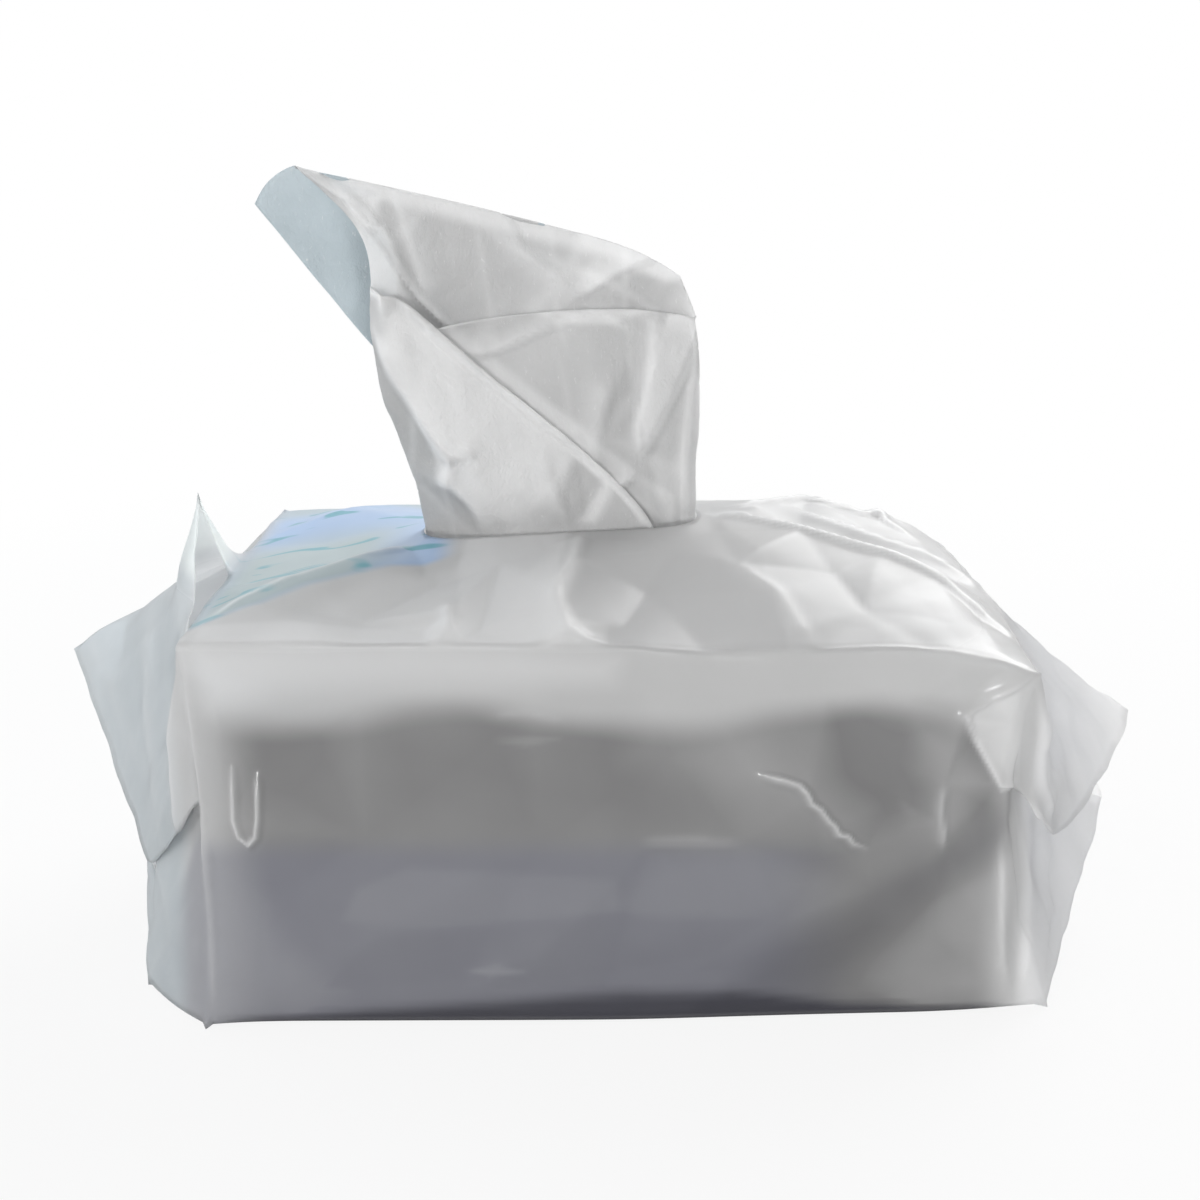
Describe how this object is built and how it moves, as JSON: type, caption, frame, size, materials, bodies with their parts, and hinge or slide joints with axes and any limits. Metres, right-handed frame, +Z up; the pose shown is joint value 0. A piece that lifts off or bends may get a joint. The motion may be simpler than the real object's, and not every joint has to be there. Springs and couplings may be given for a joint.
{
  "type": "wet wipes pack",
  "caption": "Soft pack of wet wipes in folded milky film with gift-wrap ends, a wipe drawn up through the slot in its tented top.",
  "frame": {"origin": "on the surface that the pack stands on, under the middle of the stack of wipes", "axes": "+Z up; +X along the pack toward its slumped end; -Y toward the side seen in the picture"},
  "size_m": [0.2847, 0.1266, 0.1923],
  "materials": {
    "film_wrapper": "glossy milky film",
    "wipe_stack": "damp non-woven",
    "next_wipe": "damp non-woven",
    "pulled_wipe": "matte non-woven"
  },
  "bodies": {
    "root": {"film_wrapper": "film_wrapper", "wipe_stack": "wipe_stack", "next_wipe": "next_wipe", "pulled_wipe": "pulled_wipe"}
  },
  "joints": []
}
